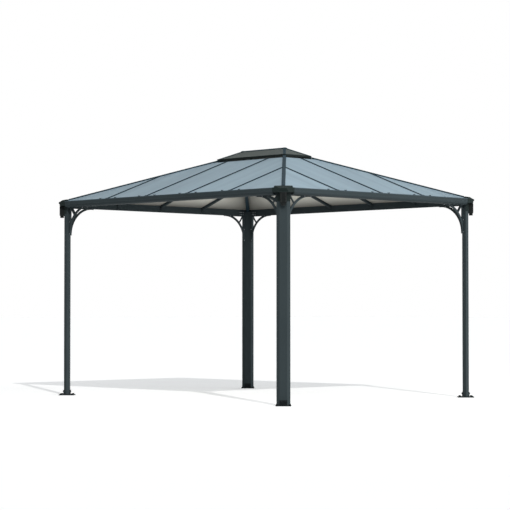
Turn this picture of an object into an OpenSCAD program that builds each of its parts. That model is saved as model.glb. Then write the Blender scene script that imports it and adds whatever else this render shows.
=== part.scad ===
// Hard-top garden gazebo: diagonal posts, gutter beams, hip roof and a raised vent roof.
// Millimetres. X runs along the long sides, Y along the short ones, Z up from the ground.
// The front is at -Y, the right at +X.

/* [Plan] */
// Length over the gutters, along X
overall_l = 3600; // [3300:10:4400]
// Width over the gutters, along Y
overall_w = 2950; // [2700:10:3200]
// Distance from a post's centre out to the gutter's outer edge
eave_overhang = 90; // [82:1:130]

/* [Posts] */
// Post width, across the corner of the plan
post_w = 138; // [120:1:145]
// Post depth, along the corner's diagonal
post_d = 62; // [50:1:66]
// Wall of the post tube
post_wall = 3; // [2:0.5:5]
// Height of the post's top
post_top = 2138; // [2000:1:2138]

/* [Feet] */
// Base plate size across the corner
foot_w = 156; // [150:1:200]
// Base plate size along the diagonal
foot_d = 172; // [166:1:220]
// Base plate thickness
foot_t = 8; // [5:0.5:12]
// Height of the upstands above the base plate
upstand_h = 50; // [30:1:90]
// Thickness of the upstands
upstand_t = 6; // [4:0.5:10]
// Radius of an anchor hole
anchor_r = 6; // [4:0.5:8]
// Anchor hole offset from the post centre, along both sides of the base plate
anchor_offset = 62; // [55:1:66]

/* [Braces] */
// Radius of the curved edge
brace_r = 287.5; // [240:0.5:380]
// Width of the curved band
brace_band = 23; // [16:1:30]
// Thickness of a brace
brace_t = 12; // [8:1:24]
// How far the curve's lower end stands off the post
brace_heel = 15; // [8:1:24]
// How far the curve's upper end stands off the beam
brace_toe = 8.5; // [4:0.5:14]
// How far a brace runs on down the post past its curve
brace_drop = 8; // [4:1:40]
// How far a brace runs on along the beam past its curve
brace_tail = 28; // [10:1:80]
// Width of the strip along the post
post_strip = 12.5; // [8:0.5:20]
// Width of the strip along the beam
beam_strip = 6; // [4:0.5:14]
// Width of the strut
strut_w = 14; // [8:1:18]
// Radius of the strut's curve
strut_r = 400; // [130:1:600]
// Distance from the post to the strut's upper end
strut_start = 31; // [24:1:40]

/* [Eaves] */
// Height of the beams' underside
beam_z = 2080; // [1950:1:2095]
// How far the beam's inner face lies inside the edge of the post's bevel
beam_set = 2; // [1:0.5:8]
// Wall of the beam and gutter
beam_wall = 2.5; // [2:0.5:4]
// Height of the gutter's floor above the beam's underside
gutter_rise = 25; // [15:1:35]
// Depth of the gutter
gutter_h = 41; // [25:1:44]
// How far a gutter reaches into its corner hood
gutter_lap = 53; // [30:1:58]
// Gap between a gutter's end and the post centre line
gutter_stop = 10; // [6:1:30]

/* [Gutter corners] */
// Wall of the hood outside the gutter's edge
hood_wall = 3; // [2:0.5:5]
// Floor of the hood under the gutter
hood_floor = 4; // [3:0.5:6]
// Distance of the hood's front face from the post centre, along the diagonal
hood_front = 94; // [90:1:110]
// Distance of the hood's back edge behind the post centre
hood_back = 10; // [4:1:20]
// Height of the hood's brow over the gutter's floor
brow_h = 58; // [50:1:64]
// Height of the hood's back edge over the gutter's floor
crown_h = 66; // [58:1:72]
// Height of the hood's front edge over the gutter's floor
front_h = 34; // [32:1:44]
// Height of the lip along the hood's front edge
lip_h = 15; // [8:1:20]
// How far the hood's front stands back under its lip
lip_set = 10; // [4:1:14]
// Half width of the hood's raised middle
hood_half = 86; // [76:1:96]
// Width of the slopes from the raised middle down to the wings
shoulder_w = 10; // [4:1:14]
// Height of the skirt that hangs from the hood on the post's outer faces
skirt_h = 88; // [60:1:100]
// How far the skirt's edges stay in front of the post's sides
skirt_edge = 4; // [3:0.5:10]
// Height of the water sump inside the hood
sump_h = 26; // [15:1:27]
// Distance of the brow from the post centre, along the diagonal
brow_v = 44; // [36:1:60]

/* [Rain spouts] */
// Width of the spout box
spout_w = 64; // [50:1:76]
// Distance of the spout's front face from the post centre
spout_front = 83; // [78:1:88]
// Height of the spout box
spout_h = 112; // [80:1:150]
// Height of the tapered part at the spout's foot
spout_toe = 10; // [6:1:30]
// Wall of the spout box
spout_wall = 3; // [2:0.5:4]
// Distance of the nozzle's centre from the post centre
nozzle_v = 61; // [56:1:62]
// Outer radius of the nozzle
nozzle_r = 20; // [14:0.5:20.5]
// Inner radius of the nozzle
nozzle_bore_r = 16; // [10:0.5:16.5]
// Length of the nozzle below the box
nozzle_l = 20; // [15:1:50]
// Distance of a rib's centre from the middle of the spout
rib_place = 23; // [15:1:26]
// How far the ribs stand out
rib_t = 3; // [2:0.5:5]
// Width of a rib
rib_w = 6; // [4:0.5:8]

/* [Roof] */
// Pitch of the main roof
roof_pitch = 20; // [16:0.5:22]
// Height of the panels' top face over the post centre line
panel_z = 2164.5; // [2164:0.5:2180]
// Thickness of a roof panel
panel_t = 6; // [4:0.5:8]
// How far the panels reach out past the post centre line
panel_reach = 52; // [40:1:60]
// Spacing of the glazing bars
bar_pitch = 650; // [560:5:720]
// Width of a glazing bar's cap
bar_cap_w = 26; // [20:1:40]
// Height of a glazing bar's cap over the panels
bar_cap_h = 5; // [3:0.5:8]
// Width of the rafter tube under a glazing bar
bar_box_w = 30; // [24:1:50]
// Depth of the rafter tube under a glazing bar
bar_box_h = 28; // [20:1:34]
// Thickness of the webs between panels
web_t = 5; // [3:0.5:8]
// Wall of the rafter tubes
rafter_wall = 2.5; // [2:0.5:4]
// Width of a hip cap
hip_cap_w = 38; // [30:1:50]
// Height of a hip cap over the panels
hip_cap_h = 11.5; // [5:0.5:14]
// Width of the hip rafter tube
hip_box_w = 36; // [30:1:50]
// Depth of the hip rafter tube
hip_box_h = 34; // [24:1:40]

/* [Vent] */
// Distance of the curb's outer face from the ridge
curb_out = 250; // [230:1:300]
// Width of the curb
curb_w = 64; // [56:1:80]
// Height of the curb's top over the panels that meet it
curb_rise = 2; // [1:0.5:5]
// Height of the curb
curb_h = 44; // [40:1:60]
// Wall of the curb
curb_wall = 3; // [2:0.5:5]
// Open height between the curb and the vent roof
vent_slot = 18; // [12:1:60]
// Distance of the vent roof's edge from the ridge
vent_out = 207; // [200:1:230]
// Width of the vent roof's edge frame
edge_w = 30; // [24:1:40]
// Height of the edge frame
edge_h = 21; // [19:0.5:26]
// Wall of the edge frame outside the panels
edge_lip = 6; // [4:0.5:8]
// Height of the edge frame's rim over the panels
lip_rise = 5; // [2:0.5:6]
// Pitch of the vent roof
vent_pitch = 24.5; // [22:0.5:26]
// Width of the vent roof's ridge and hip caps
vent_cap_w = 30; // [22:1:40]
// Height of the vent roof's ridge and hip caps over the panels
vent_cap_h = 6; // [4:0.5:12]
// Width of the ribs under the vent roof's ridge and hips
vent_rib_w = 18; // [14:1:26]
// Depth of the ribs under the vent roof's ridge and hips
vent_rib_h = 16; // [10:1:20]
// Side of a vent spacer
spacer_w = 20; // [14:1:24]

/* [Hidden] */
$fn = 64;

// Clearance where one piece seats on another
fit = 0.3;
// Clearance between a panel's edge and a web
edge_gap = 1.5;
// Overshoot of a cut
cut = 1;
// Longer than the whole object
far = overall_l + overall_w;
root2 = sqrt(2);

frame_grey = [0.20, 0.24, 0.26];
spout_black = [0.08, 0.08, 0.09];
panel_grey = [0.60, 0.67, 0.71];
vent_grey = [0.42, 0.42, 0.39];

// Post centres, and the ridge that a roof of equal pitches has
post_x = overall_l / 2 - eave_overhang;
post_y = overall_w / 2 - eave_overhang;
ridge_half = post_x - post_y;

// The post's bevels lie parallel to the gazebo's sides
post_flat = post_w / 2 - post_d / 2;
bevel_in = (post_flat - post_d / 2) / root2;
bevel_out = post_w / 2 / root2;

// Eave beam and gutter, measured outwards from the post centre line
beam_in = bevel_in + beam_set;
beam_out = bevel_out + fit;
gutter_in = beam_out;
gutter_z = beam_z + gutter_rise;
gutter_top = gutter_z + gutter_h;

// Gutter corner
hood_side = eave_overhang + fit + hood_wall;
hood_wing = gutter_lap + gutter_stop;
hood_z = gutter_z - fit - hood_floor;
front_z = gutter_z + front_h;

// Rain spout, hung under the hood
spout_back = post_d / 2 + fit;
spout_z = hood_z - spout_h;

// Roof planes
roof_tan = tan(roof_pitch);
panel_rise = panel_t / cos(roof_pitch);
apex_z = panel_z + roof_tan * post_y;
hip_side = max(hip_cap_w, hip_box_w) / 2;
web_side = web_t / 2 + edge_gap;

// The gutter's back wall stays under the panels
gutter_drop = max(0, gutter_top - (panel_z - roof_tan * gutter_in - panel_rise - fit) + 2 * beam_wall);

// Vent
curb_top = apex_z - roof_tan * curb_out + curb_rise;
curb_z = curb_top - curb_h;
edge_z = curb_top + vent_slot;
vent_tan = tan(vent_pitch);
vent_rise = panel_t / cos(vent_pitch);
vent_panel_out = vent_out - edge_lip - fit;
vent_z = edge_z + edge_h - lip_rise + vent_tan * vent_panel_out;

// Half depth and half length of a roof slope: sides 0 and 2 are the long ones
function slope_depth(side) = side % 2 == 0 ? post_y : post_x;
function slope_length(side) = side % 2 == 0 ? post_x : post_y;
function vent_depth(side) = side % 2 == 0 ? vent_out : vent_out + ridge_half;
function vent_length(side) = side % 2 == 0 ? vent_out + ridge_half : vent_out;

// Glazing bars on a side: an even number on the long sides, an odd one on the short ones
function bar_places(side) = side % 2 == 0
    ? [-1.5 * bar_pitch, -0.5 * bar_pitch, 0.5 * bar_pitch, 1.5 * bar_pitch]
    : [-bar_pitch, 0, bar_pitch];

// Turns a piece made for the front to side 0 front, 1 right, 2 back, 3 left
module on_side(side) {
    rotate([0, 0, 90 * side]) children();
}

// Mirrors a piece made at the back right corner to another corner
module at_corner(x_sign, y_sign) {
    mirror([x_sign < 0 ? 1 : 0, 0, 0])
        mirror([0, y_sign < 0 ? 1 : 0, 0])
            translate([post_x, post_y, 0]) children();
}

// Swaps X and Y, for the second of a pair about the diagonal
module swapped() {
    mirror([1, -1, 0]) children();
}

// The post's outline: x along the diagonal, y across it
module post_outline(grow) {
    v = post_d / 2 + grow;
    u = post_w / 2 + grow * root2;
    polygon([[0, u], [v, u - v], [v, v - u], [0, -u], [-v, v - u], [-v, u - v]]);
}

module post(x_sign, y_sign) {
    color(frame_grey) at_corner(x_sign, y_sign) rotate([0, 0, 45]) translate([0, 0, foot_t])
        linear_extrude(post_top - foot_t) difference() {
            post_outline(0);
            post_outline(-post_wall);
        }
}

module foot(x_sign, y_sign) {
    color(frame_grey) at_corner(x_sign, y_sign) rotate([0, 0, 45]) {
        difference() {
            translate([-foot_d / 2, -foot_w / 2, 0]) cube([foot_d, foot_w, foot_t]);
            for (v = [-1, 1], u = [-1, 1])
                translate([v * anchor_offset, u * anchor_offset, -cut])
                    cylinder(h = foot_t + 2 * cut, r = anchor_r);
        }
        for (v = [0, 1])
            mirror([v, 0, 0]) translate([post_d / 2 + fit, -post_flat, foot_t - cut])
                cube([upstand_t, 2 * post_flat, upstand_h + cut]);
    }
}

// A brace seen from the side: x from the post centre along the beam, y the height
module brace_outline() {
    face = bevel_out + fit;
    top = beam_z - fit;
    centre = [face + brace_heel + brace_r, top - brace_toe - brace_r];
    // The strut's arc runs from the beam to the middle of the band
    reach = brace_r + brace_band / 2;
    from = [face + strut_start, top];
    to = centre + [-reach, reach] / root2;
    chord = to - from;
    half = norm(chord) / 2;
    sink = sqrt(strut_r * strut_r - half * half);
    strut_centre = from + chord / 2 + sink * [-chord[1], chord[0]] / (2 * half);
    difference() {
        translate([face, centre[1] - brace_drop])
            square([centre[0] - face + brace_tail, top - centre[1] + brace_drop]);
        translate(centre) circle(r = brace_r, $fn = 128);
        translate([centre[0], centre[1] - brace_drop - cut])
            square([brace_tail + cut, brace_r + brace_drop + cut]);
        translate([face + brace_heel, centre[1] - brace_drop - cut])
            square([brace_r + cut, brace_drop + cut]);
        difference() {
            translate([face + post_strip, centre[1]])
                square([centre[0] - face - post_strip, top - centre[1] - beam_strip]);
            translate(centre) circle(r = brace_r + brace_band, $fn = 128);
            difference() {
                translate(strut_centre) circle(r = strut_r + strut_w / 2, $fn = 128);
                translate(strut_centre) circle(r = strut_r - strut_w / 2, $fn = 128);
            }
        }
    }
}

module brace() {
    translate([0, bevel_in + fit + brace_t, 0]) mirror([1, 0, 0]) rotate([90, 0, 0])
        linear_extrude(brace_t) brace_outline();
}

module braces(x_sign, y_sign) {
    color(frame_grey) at_corner(x_sign, y_sign) {
        brace();
        swapped() brace();
    }
}

// A slab under or over a roof plane, made for the front.
// plane is the plane's height on the gazebo's centre line and its slope.
module slope_slab(plane, y_from, y_to, top, bottom, x_from, x_to) {
    function plane_z(y) = plane[0] + plane[1] * y;
    translate([x_from, 0, 0]) rotate([90, 0, 90]) linear_extrude(x_to - x_from) polygon([
        [y_from, plane_z(y_from) + bottom], [y_to, plane_z(y_to) + bottom],
        [y_to, plane_z(y_to) + top], [y_from, plane_z(y_from) + top]
    ]);
}

// A slope's plan between its two hips: inset is measured square to the hip lines
module slope_plan(depth, length, e_from, e_to, inset) {
    low = length - e_from - inset * root2;
    high = max(length - e_to - inset * root2, 0);
    translate([0, -depth]) polygon([[-low, e_from], [low, e_from], [high, e_to], [-high, e_to]]);
}

function main_plane(side) = [panel_z + roof_tan * slope_depth(side), roof_tan];
function vent_plane(side) = [vent_z + vent_tan * (vent_depth(side) - vent_out), vent_tan];

// Beam and gutter in section: x outwards is negative, y the height
module beam_section() {
    function under_z(d) = panel_z - roof_tan * d - panel_rise - fit;
    difference() {
        polygon([
            [-beam_in, beam_z], [-beam_in, under_z(beam_in)],
            [-beam_out, under_z(beam_out)], [-beam_out, beam_z]
        ]);
        polygon([
            [-beam_in - beam_wall, beam_z + beam_wall],
            [-beam_in - beam_wall, under_z(beam_in + beam_wall) - beam_wall],
            [-beam_out + beam_wall, under_z(beam_out - beam_wall) - beam_wall],
            [-beam_out + beam_wall, beam_z + beam_wall]
        ]);
    }
}

module gutter_section() {
    translate([-eave_overhang, gutter_z]) difference() {
        square([eave_overhang - gutter_in, gutter_h]);
        translate([beam_wall, beam_wall]) square([eave_overhang - gutter_in - 2 * beam_wall, gutter_h]);
        translate([eave_overhang - gutter_in - beam_wall - cut, gutter_h - gutter_drop])
            square([beam_wall + 2 * cut, gutter_h]);
    }
}

module eave_beam(side) {
    box_half = slope_length(side) - bevel_out - fit;
    gutter_half = slope_length(side) - gutter_stop;
    color(frame_grey) on_side(side) translate([0, -slope_depth(side), 0]) union() {
        translate([-box_half, 0, 0]) rotate([90, 0, 90]) linear_extrude(2 * box_half) beam_section();
        translate([-gutter_half, 0, 0]) rotate([90, 0, 90]) linear_extrude(2 * gutter_half) gutter_section();
    }
}

// The hood's plan at the back right corner: chamfered in front, notched for the beams behind
module hood_plan() {
    wing = -hood_wing;
    notch = -bevel_out - fit;
    inner = beam_out + fit;
    chamfer = hood_front * root2 - hood_side;
    back = -hood_back * root2;
    polygon([
        [hood_side, wing], [hood_side, chamfer], [chamfer, hood_side], [wing, hood_side],
        [wing, inner], [notch, inner], [notch, back - notch],
        [back - notch, notch], [inner, notch], [inner, wing]
    ]);
}

// The hood's slope along the diagonal
module hood_profile() {
    polygon([
        [-hood_back - cut, hood_z], [hood_front - lip_set, hood_z], [hood_front - lip_set, front_z - lip_h],
        [hood_front + cut, front_z - lip_h], [hood_front + cut, front_z],
        [brow_v, gutter_z + brow_h], [-hood_back - cut, gutter_z + crown_h]
    ]);
}

// The hood seen along the diagonal: a raised middle between two lower wings
module hood_face() {
    low = gutter_top + fit + hood_wall;
    high = gutter_z + crown_h + cut;
    polygon([
        [-2 * hood_side, hood_z], [2 * hood_side, hood_z], [2 * hood_side, low],
        [hood_half + shoulder_w, low], [hood_half, high], [-hood_half, high],
        [-hood_half - shoulder_w, low], [-2 * hood_side, low]
    ]);
}

// The hood's skirt in plan, open in front of the spout
module skirt_plan() {
    difference() {
        intersection() {
            post_outline(fit + hood_wall);
            translate([skirt_edge, -post_w]) square([post_w, 2 * post_w]);
        }
        translate([0, -spout_w / 2 - fit]) square([post_w, spout_w + 2 * fit]);
    }
}

module gutter_corner(x_sign, y_sign) {
    channel = [
        hood_wing - gutter_stop + fit + cut,
        eave_overhang - gutter_in + 2 * fit,
        gutter_h + fit + cut
    ];
    color(frame_grey) at_corner(x_sign, y_sign) difference() {
        union() {
            intersection() {
                translate([0, 0, hood_z - cut]) linear_extrude(2 * crown_h) hood_plan();
                rotate([0, 0, 45]) translate([0, 2 * hood_side, 0]) rotate([90, 0, 0])
                    linear_extrude(4 * hood_side) hood_profile();
                rotate([0, 0, 45]) translate([-2 * hood_side, 0, 0]) rotate([90, 0, 90])
                    linear_extrude(4 * hood_side) hood_face();
            }
            rotate([0, 0, 45]) translate([0, 0, hood_z - skirt_h])
                linear_extrude(skirt_h + hood_floor / 2) skirt_plan();
        }
        // The post's head
        rotate([0, 0, 45]) translate([0, 0, hood_z - skirt_h - cut])
            linear_extrude(post_top - hood_z + skirt_h + cut) post_outline(fit);
        // The two gutters' ends
        translate([-hood_wing - cut, gutter_in - fit, gutter_z - fit]) cube(channel);
        swapped() translate([-hood_wing - cut, gutter_in - fit, gutter_z - fit]) cube(channel);
        // The sump between the gutters, and its outlet
        translate([0, 0, gutter_z - fit]) linear_extrude(sump_h) intersection() {
            rotate([0, 0, 45]) translate([post_d / 2 + hood_wall, -spout_front])
                square([hood_front - lip_set - post_d / 2 - 2 * hood_wall, 2 * spout_front]);
            translate([-gutter_stop - cut, -gutter_stop - cut])
                square([eave_overhang + gutter_stop + cut, eave_overhang + gutter_stop + cut]);
        }
        rotate([0, 0, 45]) translate([nozzle_v, 0, hood_z - cut])
            cylinder(h = hood_floor + fit + 2 * cut, r = nozzle_bore_r);
    }
}

// The spout in side view: x along the diagonal, y the height
module spout_outline(inset) {
    back = spout_back + inset;
    front = spout_front - inset;
    toe = nozzle_v + nozzle_r - inset;
    heel = nozzle_v - nozzle_r + inset;
    polygon([
        [back, hood_z + inset], [front, hood_z + inset], [front, spout_z + spout_toe],
        [toe, spout_z + inset], [heel, spout_z + inset], [back, spout_z + spout_toe]
    ]);
}

module rain_spout(x_sign, y_sign) {
    rib_h = spout_h - spout_toe - rib_w;
    color(spout_black) at_corner(x_sign, y_sign) rotate([0, 0, 45]) {
        difference() {
            union() {
                translate([0, spout_w / 2, -fit]) rotate([90, 0, 0]) linear_extrude(spout_w) spout_outline(0);
                translate([nozzle_v, 0, spout_z - nozzle_l])
                    cylinder(h = nozzle_l + spout_wall, r = nozzle_r);
                for (u = [-1, 1])
                    translate([spout_front - cut, u * rib_place - rib_w / 2, spout_z + spout_toe])
                        cube([rib_t + cut, rib_w, rib_h]);
            }
            translate([0, spout_w / 2 - spout_wall, -fit]) rotate([90, 0, 0])
                linear_extrude(spout_w - 2 * spout_wall) spout_outline(spout_wall);
            translate([nozzle_v, 0, spout_z - nozzle_l - cut])
                cylinder(h = nozzle_l + 2 * spout_wall + cut, r = nozzle_bore_r);
        }
    }
}

// Space under some slopes of the main roof, up to a height over their panels
module under_main(height, sides) {
    intersection_for (side = sides) on_side(side)
        slope_slab(main_plane(side), -far, far, height, -far, -far, far);
}

// A layer of the front right hip rafter, between two heights over the panels
module hip_layer(v_from, top, bottom, half_w) {
    v_to = (post_y - curb_out + curb_w) * root2;
    difference() {
        intersection() {
            translate([post_x, -post_y, 0]) rotate([0, 0, 135]) translate([v_from, -half_w, 0])
                cube([v_to - v_from, 2 * half_w, far]);
            under_main(top, [0, 1]);
        }
        under_main(bottom, [0, 1]);
    }
}

// Web and hollow rafter tube from the hood up to the curb, under a cap that goes on to the vent roof
module hip_rafter(x_sign, y_sign) {
    under = -panel_rise - fit;
    v_cap = hood_back + fit;
    v_box = post_d / 2 + fit;
    color(frame_grey) mirror([x_sign < 0 ? 1 : 0, 0, 0]) mirror([0, y_sign > 0 ? 1 : 0, 0]) union() {
        difference() {
            hip_layer(v_cap, hip_cap_h, fit, hip_cap_w / 2);
            vent_block(curb_out + fit, curb_top + fit);
            vent_block(vent_out + fit, far);
        }
        difference() {
            union() {
                hip_layer(v_cap, hip_cap_h - cut, under - cut, web_t / 2);
                hip_layer(v_box, under, under - hip_box_h, hip_box_w / 2);
            }
            hip_layer(
                v_box - cut, under - rafter_wall, under - hip_box_h + rafter_wall, hip_box_w / 2 - rafter_wall
            );
            vent_block(curb_out + fit, far);
        }
    }
}

// A block about the ridge, from the ground up to a height
module vent_block(outer, height) {
    half_x = ridge_half + outer;
    translate([-half_x, -outer, 0]) cube([2 * half_x, 2 * outer, height]);
}

module glazing_bars(side) {
    depth = slope_depth(side);
    length = slope_length(side);
    plane = main_plane(side);
    e_top = depth - curb_out - fit - (side % 2 == 0 ? 0 : ridge_half);
    under = -panel_rise - fit;
    module layer(place, e_from, top, bottom, half_w) {
        slope_slab(plane, e_from - depth, e_top - depth, top, bottom, place - half_w, place + half_w);
    }
    color(frame_grey) on_side(side) intersection() {
        linear_extrude(far) slope_plan(depth, length, -panel_reach, e_top, hip_side + fit);
        for (place = bar_places(side)) difference() {
            union() {
                layer(place, -panel_reach, bar_cap_h, fit, bar_cap_w / 2);
                layer(place, -panel_reach, bar_cap_h - cut, under + fit, web_t / 2);
                layer(place, fit - beam_in, under + 2 * cut, under - cut, web_t / 2);
                layer(place, fit - beam_in, under, under - bar_box_h, bar_box_w / 2);
            }
            layer(
                place, -far, under - rafter_wall, under - bar_box_h + rafter_wall, bar_box_w / 2 - rafter_wall
            );
        }
    }
}

module roof_panels(side) {
    depth = slope_depth(side);
    length = slope_length(side);
    e_top = depth - curb_out - fit - (side % 2 == 0 ? 0 : ridge_half);
    color(panel_grey) on_side(side) difference() {
        intersection() {
            slope_slab(main_plane(side), -far / 2, far / 2, 0, -panel_rise, -far / 2, far / 2);
            linear_extrude(far) difference() {
                slope_plan(depth, length, -panel_reach, e_top, web_side);
                for (place = bar_places(side))
                    translate([place - web_side, -far / 2]) square([2 * web_side, far]);
            }
        }
        // Room for the gutter corners
        for (end = [0, 1])
            mirror([end, 0, 0]) translate([length, -depth, 0]) rotate([0, 0, -45])
                translate([-hood_back - fit, -far / 2, 0]) cube([far, far, far]);
    }
}

module vent_curb() {
    module frame(outer, width, z_from, height) {
        translate([0, 0, z_from]) linear_extrude(height) difference() {
            square([2 * (ridge_half + outer), 2 * outer], center = true);
            square([2 * (ridge_half + outer - width), 2 * (outer - width)], center = true);
        }
    }
    color(frame_grey) difference() {
        frame(curb_out, curb_w, curb_z, curb_h);
        frame(curb_out - curb_wall, curb_w - 2 * curb_wall, curb_z - cut, curb_h - curb_wall + cut);
    }
}

module vent_spacers() {
    inset = vent_out - spacer_w / 2 - cut;
    color(frame_grey) for (x = [-1, 0, 1], y = [-1, 1])
        translate([x * (ridge_half + inset), y * inset, curb_top + vent_slot / 2])
            cube([spacer_w, spacer_w, vent_slot], center = true);
}

// The vent roof's plan, drawn in by an inset
module vent_plan(inset) {
    square([2 * (ridge_half + vent_out - inset), 2 * (vent_out - inset)], center = true);
}

module vent_roof_edge() {
    color(frame_grey) difference() {
        translate([0, 0, edge_z]) linear_extrude(edge_h) difference() {
            vent_plan(0);
            vent_plan(edge_w);
        }
        // The panels' seat
        intersection() {
            for (side = [0, 1, 2, 3]) on_side(side)
                slope_slab(vent_plane(side), -far / 2, 0, far, -vent_rise - fit, -far / 2, far / 2);
            translate([0, 0, edge_z]) linear_extrude(2 * edge_h)
                vent_plan(edge_lip);
        }
    }
}

// Space under some slopes of the vent roof, up to a height over their panels
module under_vent(height, sides) {
    intersection_for (side = sides) on_side(side)
        slope_slab(vent_plane(side), -far, far, height, -far, -far, far);
}

// A layer of the vent's front right hip, which also makes its half of the joint with the ridge
module vent_hip_layer(inset, top, bottom, half_w) {
    difference() {
        intersection() {
            linear_extrude(far) intersection() {
                vent_plan(inset);
                translate([ridge_half, 0]) rotate(-45) translate([-half_w, -half_w])
                    square([2 * vent_out, 2 * half_w]);
                translate([ridge_half - vent_cap_w / 2, -far / 2]) square([far, far]);
            }
            under_vent(top, [0, 1, 2]);
        }
        under_vent(bottom, [0, 1, 2]);
    }
}

module vent_roof_hips() {
    under = -vent_rise - fit;
    color(frame_grey) for (x_flip = [0, 1], y_flip = [0, 1])
        mirror([x_flip, 0, 0]) mirror([0, y_flip, 0]) {
            vent_hip_layer(edge_lip + fit, vent_cap_h, fit, vent_cap_w / 2);
            vent_hip_layer(edge_lip + fit, vent_cap_h - cut, under + fit, web_t / 2);
            vent_hip_layer(edge_w + fit, fit + cut, under - cut, web_t / 2);
            vent_hip_layer(edge_w + fit, under, under - vent_rib_h, vent_rib_w / 2);
        }
}

// A layer of the vent's ridge bar
module vent_ridge_layer(top, bottom, half_w) {
    half = ridge_half - vent_cap_w / 2 - fit;
    difference() {
        intersection() {
            translate([-half, -half_w, 0]) cube([2 * half, 2 * half_w, far]);
            under_vent(top, [0, 2]);
        }
        under_vent(bottom, [0, 2]);
    }
}

module vent_roof_ridge() {
    under = -vent_rise - fit;
    color(frame_grey) {
        vent_ridge_layer(vent_cap_h, fit, vent_cap_w / 2);
        vent_ridge_layer(fit + cut, under - cut, web_t / 2);
        vent_ridge_layer(under, under - vent_rib_h, vent_rib_w / 2);
    }
}

module vent_roof_panels() {
    color(vent_grey) for (side = [0, 1, 2, 3]) on_side(side) intersection() {
        slope_slab(vent_plane(side), -far / 2, -web_side, 0, -vent_rise, -far / 2, far / 2);
        linear_extrude(far)
            slope_plan(vent_depth(side), vent_length(side), edge_lip + fit, vent_out - web_side, web_side);
    }
}

post(-1, -1);  // front_left_post
post(1, -1);  // front_right_post
post(1, 1);  // back_right_post
post(-1, 1);  // back_left_post
foot(-1, -1);  // front_left_foot
foot(1, -1);  // front_right_foot
foot(1, 1);  // back_right_foot
foot(-1, 1);  // back_left_foot
braces(-1, -1);  // front_left_braces
braces(1, -1);  // front_right_braces
braces(1, 1);  // back_right_braces
braces(-1, 1);  // back_left_braces
gutter_corner(-1, -1);  // front_left_gutter_corner
gutter_corner(1, -1);  // front_right_gutter_corner
gutter_corner(1, 1);  // back_right_gutter_corner
gutter_corner(-1, 1);  // back_left_gutter_corner
rain_spout(-1, -1);  // front_left_rain_spout
rain_spout(1, -1);  // front_right_rain_spout
rain_spout(1, 1);  // back_right_rain_spout
rain_spout(-1, 1);  // back_left_rain_spout
hip_rafter(-1, -1);  // front_left_hip_rafter
hip_rafter(1, -1);  // front_right_hip_rafter
hip_rafter(1, 1);  // back_right_hip_rafter
hip_rafter(-1, 1);  // back_left_hip_rafter
eave_beam(0);  // front_eave_beam
eave_beam(1);  // right_eave_beam
eave_beam(2);  // back_eave_beam
eave_beam(3);  // left_eave_beam
glazing_bars(0);  // front_glazing_bars
glazing_bars(1);  // right_glazing_bars
glazing_bars(2);  // back_glazing_bars
glazing_bars(3);  // left_glazing_bars
roof_panels(0);  // front_roof_panels
roof_panels(1);  // right_roof_panels
roof_panels(2);  // back_roof_panels
roof_panels(3);  // left_roof_panels
vent_curb();
vent_spacers();
vent_roof_edge();
vent_roof_ridge();
vent_roof_hips();
vent_roof_panels();
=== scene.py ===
"""Looks of a hard-top garden gazebo: coated frame, moulded gutter corners, ribbed roof sheets and fittings.

Metres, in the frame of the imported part: X along the long sides, Y along the short ones, Z up.
"""

import math

import bmesh
import bpy
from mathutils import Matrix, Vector


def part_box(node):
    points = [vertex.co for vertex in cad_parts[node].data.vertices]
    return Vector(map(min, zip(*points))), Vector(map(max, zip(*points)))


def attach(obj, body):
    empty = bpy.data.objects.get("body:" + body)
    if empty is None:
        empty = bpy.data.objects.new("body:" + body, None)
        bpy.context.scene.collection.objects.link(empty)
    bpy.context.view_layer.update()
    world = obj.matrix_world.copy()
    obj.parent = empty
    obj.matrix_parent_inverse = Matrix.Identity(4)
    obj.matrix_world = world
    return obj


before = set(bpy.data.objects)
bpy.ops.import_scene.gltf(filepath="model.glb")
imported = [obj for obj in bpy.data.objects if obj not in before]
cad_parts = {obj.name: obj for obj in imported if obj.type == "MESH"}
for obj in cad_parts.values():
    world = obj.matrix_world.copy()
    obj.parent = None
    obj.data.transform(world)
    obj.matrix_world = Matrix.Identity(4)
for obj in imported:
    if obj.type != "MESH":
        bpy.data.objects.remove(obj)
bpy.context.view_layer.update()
BODY = "root"
UP = Vector((0.0, 0.0, 1.0))
EAST = Vector((1.0, 0.0, 0.0))
NORTH = Vector((0.0, 1.0, 0.0))
ROOT2 = math.sqrt(2.0)
QUARTER_TURN = math.pi / 2
FULL_TURN = 2 * math.pi

# Corners and sides of the plan
CORNERS = {"front_left": (-1, -1), "front_right": (1, -1), "back_right": (1, 1), "back_left": (-1, 1)}
SIDES = ("front", "right", "back", "left")

# Places read from the frame
POST_LOW, POST_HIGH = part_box("front_right_post")
POST_X = (POST_LOW.x + POST_HIGH.x) / 2
POST_Y = -(POST_LOW.y + POST_HIGH.y) / 2
RIDGE_HALF = POST_X - POST_Y
EAVE_REACH = -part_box("front_eave_beam")[0].y - POST_Y
BEAM_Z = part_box("front_eave_beam")[0].z
CURB_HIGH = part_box("vent_curb")[1]
CURB_OUT = CURB_HIGH.y
VENT_EDGE_LOW, VENT_EDGE_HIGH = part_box("vent_roof_edge")
VENT_OUT = VENT_EDGE_HIGH.y
RIDGE_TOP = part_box("vent_roof_ridge")[1].z
FOOT_TOP = POST_LOW.z
BRACE_END_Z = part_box("front_right_braces")[0].z
SPOUT_END_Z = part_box("front_right_rain_spout")[0].z
SKIRT_END_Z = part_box("front_right_gutter_corner")[0].z

# Post section
POST_W = 0.138
POST_D = 0.062
BEVEL_OUT = POST_W / 2 / ROOT2
BEVEL_IN = (POST_W / 2 - POST_D) / ROOT2
FIT = 0.0003

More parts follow.
